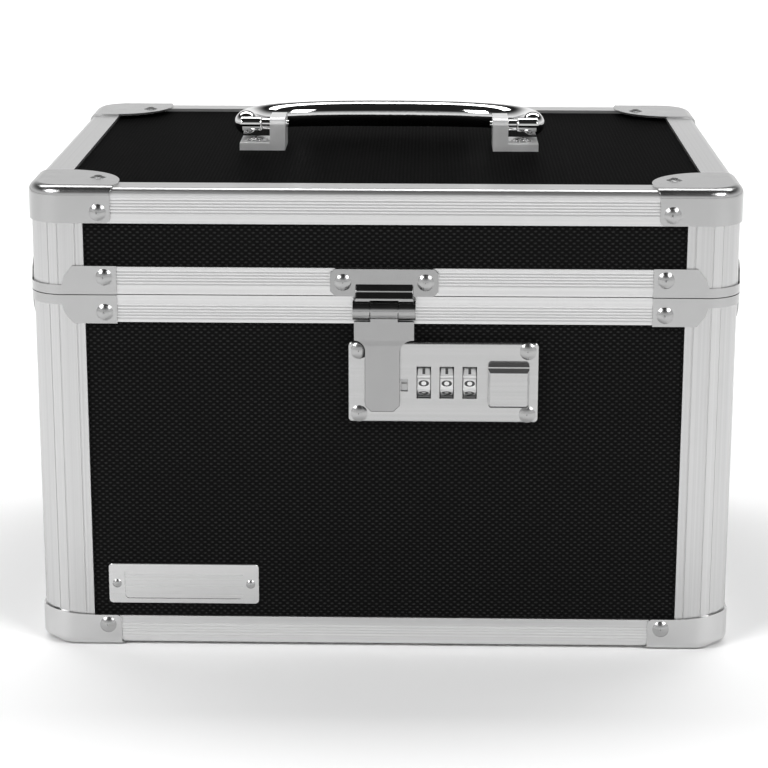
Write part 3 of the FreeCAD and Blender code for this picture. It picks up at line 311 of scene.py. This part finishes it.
FELT_T = 1.9 * MM
FELT_STEP = 6.0 * MM
FELT_EDGE = 3.0 * MM


def stops(length, cuts):
    """Even stops along a side, with every cut among them."""
    count = max(2, round(length / FELT_STEP))
    marks = [length * i / count for i in range(count + 1)] + [c for c in cuts if 0 < c < length]
    marks = sorted(marks)
    return [m for k, m in enumerate(marks) if k == 0 or m - marks[k - 1] > MM / 10]


def felt_board(felt, origin, along, up, size, gaps=()):
    """One felt sheet from a back corner: soft edges, a slightly uneven face, and square gaps."""
    inward = along.cross(up)
    us = stops(size[0], [g[k] for g in gaps for k in (0, 1)])
    vs = stops(size[1], [g[k] for g in gaps for k in (2, 3)])
    rows = []
    for v in vs:
        row = []
        for u in us:
            edge = min(u, size[0] - u, v, size[1] - v) / FELT_EDGE
            crown = 1 - 0.35 * max(0, 1 - edge) ** 2
            place = origin + along * u + up * v
            crown -= 0.06 * (1 + noise.noise(place * 40))
            row.append(felt.verts.new(place + inward * FELT_T * crown))
        rows.append(row)
    faces = []
    for j in range(len(vs) - 1):
        for i in range(len(us) - 1):
            u, v = (us[i] + us[i + 1]) / 2, (vs[j] + vs[j + 1]) / 2
            if any(g[0] < u < g[1] and g[2] < v < g[3] for g in gaps):
                continue
            faces.append(felt.faces.new((rows[j][i], rows[j][i + 1], rows[j + 1][i + 1], rows[j + 1][i])))
    back = bmesh.ops.extrude_face_region(felt, geom=faces)["geom"]
    moved = [v for v in back if isinstance(v, bmesh.types.BMVert)]
    bmesh.ops.translate(felt, verts=moved, vec=-inward * FELT_T * 0.8)


def felt_lining_piece(name, body, sheet_up, front_gaps, sheet_gaps):
    """The whole lining of the base or the lid; sheet_up is 1 where the sheet is a floor."""
    low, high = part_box(name)
    inner = 2.0 * MM
    width, depth, height = high.x - low.x, high.y - low.y, high.z - low.z
    x, y, z = Vector((1, 0, 0)), Vector((0, 1, 0)), Vector((0, 0, 1))
    felt = bmesh.new()
    felt_board(felt, Vector((high.x, low.y, low.z)), -x, z, (width, height), front_gaps)
    felt_board(felt, Vector((low.x, high.y, low.z)), x, z, (width, height))
    side = depth - 2 * inner
    felt_board(felt, Vector((low.x, low.y + inner, low.z)), y, z, (side, height))
    felt_board(felt, Vector((high.x, high.y - inner, low.z)), -y, z, (side, height))
    span = width - 2 * inner
    if sheet_up > 0:
        felt_board(felt, Vector((low.x + inner, low.y + inner, low.z)), x, y, (span, side), sheet_gaps)
    else:
        felt_board(felt, Vector((high.x - inner, low.y + inner, high.z)), -x, y, (span, side), sheet_gaps)
    bmesh.ops.recalc_face_normals(felt, faces=felt.faces)
    mesh = bpy.data.meshes.new(name + "_felt")
    felt.to_mesh(mesh)
    felt.free()
    mesh.materials.append(FELT)
    mesh.shade_smooth()
    mesh.set_sharp_from_angle(angle=math.radians(50))
    piece = bpy.data.objects.new(name + "_felt", mesh)
    bpy.context.collection.objects.link(piece)
    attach(piece, body)
    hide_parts(name)


def felt_linings():
    low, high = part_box("base_lining")
    case_low, case_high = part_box("lock_case")
    room = 0.1 * MM
    case_gap = (high.x - case_high.x - room, high.x - case_low.x + room,
                case_low.z - low.z - room, case_high.z - low.z + room)
    felt_lining_piece("base_lining", "base", 1, [case_gap], [])
    low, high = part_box("lid_lining")
    nut_low, nut_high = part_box("handle_nuts")
    radius = (nut_high.y - nut_low.y) / 2
    nut_gaps = []
    for nut_x in (nut_low.x + radius, nut_high.x - radius):
        u = high.x - 2 * MM - nut_x
        v = (nut_low.y + nut_high.y) / 2 - low.y - 2 * MM
        nut_gaps.append((u - radius - room, u + radius + room, v - radius - room, v + radius + room))
    felt_lining_piece("lid_lining", "lid", -1, [], nut_gaps)


# Digits on the wheels


def digit_ring(dial):
    """Ten digits round one number wheel, with 0 to the front and 1 above it."""
    low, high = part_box(dial)
    centre = (low + high) / 2
    radius = (high.z - low.z) / 2
    ring = bmesh.new()
    for digit in range(10):
        curve = bpy.data.curves.new("glyph", "FONT")
        curve.body = str(digit)
        curve.size = 3.35 * MM
        curve.offset = 0.04 * MM
        curve.extrude = 0.06 * MM
        curve.resolution_u = 4
        glyph = bpy.data.objects.new("glyph", curve)
        bpy.context.collection.objects.link(glyph)
        mesh = bpy.data.meshes.new_from_object(glyph)
        xs = [v.co.x for v in mesh.vertices]
        ys = [v.co.y for v in mesh.vertices]
        middle = Vector(((min(xs) + max(xs)) / 2, (min(ys) + max(ys)) / 2, 0))
        angle = math.radians(36 * digit)
        stand = Matrix.Rotation(math.pi / 2, 4, "X")
        turn = Matrix.Rotation(-angle, 4, "X")
        place = Matrix.Translation(centre) @ turn @ Matrix.Translation((0, -radius, 0)) @ stand
        widen = Matrix.Diagonal((2.4, 0.92, 1, 1))
        mesh.transform(place @ widen @ Matrix.Translation(-middle))
        ring.from_mesh(mesh)
        bpy.data.objects.remove(glyph)
        bpy.data.meshes.remove(mesh)
    mesh = bpy.data.meshes.new(dial + "_digits")
    ring.to_mesh(mesh)
    ring.free()
    mesh.materials.append(PAINT)
    digits = bpy.data.objects.new(dial + "_digits", mesh)
    bpy.context.collection.objects.link(digits)
    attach(digits, dial)


# Painted shade of the driver recesses


def recess_mesh(name, place, radius):
    """Flat dark six-pointed star on a screw or rivet head that faces up: painted shade standing in for
    the inside of a driver recess, no recess is cut.
    """
    star = bmesh.new()
    ring = []
    for i in range(12):
        angle = math.pi * i / 6
        reach = radius if i % 2 == 0 else radius * 0.62
        ring.append(star.verts.new(place + Vector((reach * math.cos(angle), reach * math.sin(angle), 0))))
    floor = star.faces.new(ring)
    rim = bmesh.ops.extrude_face_region(star, geom=[floor])["geom"]
    lifted = [v for v in rim if isinstance(v, bmesh.types.BMVert)]
    bmesh.ops.translate(star, verts=lifted, vec=(0, 0, 0.06 * MM))
    bmesh.ops.recalc_face_normals(star, faces=star.faces)
    mesh = bpy.data.meshes.new(name)
    star.to_mesh(mesh)
    star.free()
    # the dark digit paint is painted shade standing in for the inside of the recess
    mesh.materials.append(PAINT)
    piece = bpy.data.objects.new(name, mesh)
    bpy.context.collection.objects.link(piece)
    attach(piece, "lid")


def driver_recesses():
    """A painted-shade star for a driver recess on each of the lid's four top rivets."""
    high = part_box("lid_top_caps")[1]
    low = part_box("lid_top_caps")[0]
    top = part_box("lid_rivets")[1].z
    reach_x, reach_y = 23.8 * MM, 17.8 * MM
    for side, x in (("left", low.x + reach_x), ("right", high.x - reach_x)):
        for end, y in (("front", low.y + reach_y), ("back", high.y - reach_y)):
            place = Vector((x, y, top - 0.05 * MM))
            recess_mesh("recess_" + side + "_" + end, place, 1.35 * MM)


# Studio


def studio_floor():
    """Wide pale floor."""
    half = 12.0
    mesh = bpy.data.meshes.new("studio_floor")
    vertices = [(-half, -half, 0), (half, -half, 0), (half, half, 0), (-half, half, 0)]
    mesh.from_pydata(vertices, [], [(0, 1, 2, 3)])
    shader = Shader("studio_floor", grey(0.95), 0.0, 0.6)
    mesh.materials.append(shader.material)
    floor = bpy.data.objects.new("studio_floor", mesh)
    bpy.context.collection.objects.link(floor)


def softbox(name, place, aim, size, power):
    light = bpy.data.lights.new(name, "AREA")
    light.shape = "RECTANGLE"
    light.size, light.size_y = size
    light.energy = power
    lamp = bpy.data.objects.new(name, light)
    lamp.location = place
    lamp.rotation_euler = (Vector(aim) - Vector(place)).to_track_quat("-Z", "Y").to_euler()
    bpy.context.collection.objects.link(lamp)


def studio_world():
    """White walls all round that darken towards a black ceiling."""
    world = bpy.data.worlds.new("studio")
    world.use_nodes = True
    tree = world.node_tree
    place = tree.nodes.new("ShaderNodeTexCoord").outputs["Generated"]
    split = tree.nodes.new("ShaderNodeSeparateXYZ")
    tree.links.new(place, split.inputs[0])
    fade = tree.nodes.new("ShaderNodeMapRange")
    fade.interpolation_type = "SMOOTHSTEP"
    for socket, number in zip(("From Min", "From Max", "To Min", "To Max"), (0.08, 0.6, 1.0, 0.02)):
        fade.inputs[socket].default_value = number
    tree.links.new(split.outputs[2], fade.inputs["Value"])
    tree.links.new(fade.outputs[0], tree.nodes["Background"].inputs["Strength"])
    tree.nodes["Background"].inputs["Color"].default_value = (1, 1, 1, 1)
    bpy.context.scene.world = world


def studio_light():
    softbox("key_light", (-1.5, -1.4, 1.7), (0, 0, 0.08), (0.9, 0.9), 34.0)
    softbox("fill_light", (1.5, -1.4, 1.7), (0, 0, 0.08), (0.9, 0.9), 30.0)
    softbox("far_light", (0.0, 1.3, 2.4), (0, 1.9, 0.0), (4.0, 1.4), 90.0)


def photo_camera():
    """Long lens a little above the lid, looking almost straight at the front."""
    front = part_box("base_bottom_rails")[0].y
    pitch, yaw, roll = math.radians(14.1), math.radians(-1.14), math.radians(0.08)
    forward = Vector((math.sin(yaw) * math.cos(pitch), math.cos(yaw) * math.cos(pitch), -math.sin(pitch)))
    camera = bpy.data.cameras.new("photo_camera")
    camera.sensor_width = 36.0
    camera.lens = 104.6
    camera.shift_y = -0.10
    eye = bpy.data.objects.new("photo_camera", camera)
    eye.location = (0.015, front - 0.760, 0.319)
    turn = forward.to_track_quat("-Z", "Y").to_matrix() @ Matrix.Rotation(roll, 3, "Z")
    eye.rotation_euler = turn.to_euler()
    bpy.context.collection.objects.link(eye)
    bpy.context.scene.camera = eye


def view_settings():
    view = bpy.context.scene.view_settings
    view.view_transform = "Standard"
    view.look = "None"
    view.exposure = 0.0


dress()
felt_linings()
for wheel in ("dial_left", "dial_middle", "dial_right"):
    digit_ring(wheel)
driver_recesses()
studio_floor()
studio_world()
studio_light()
photo_camera()
view_settings()
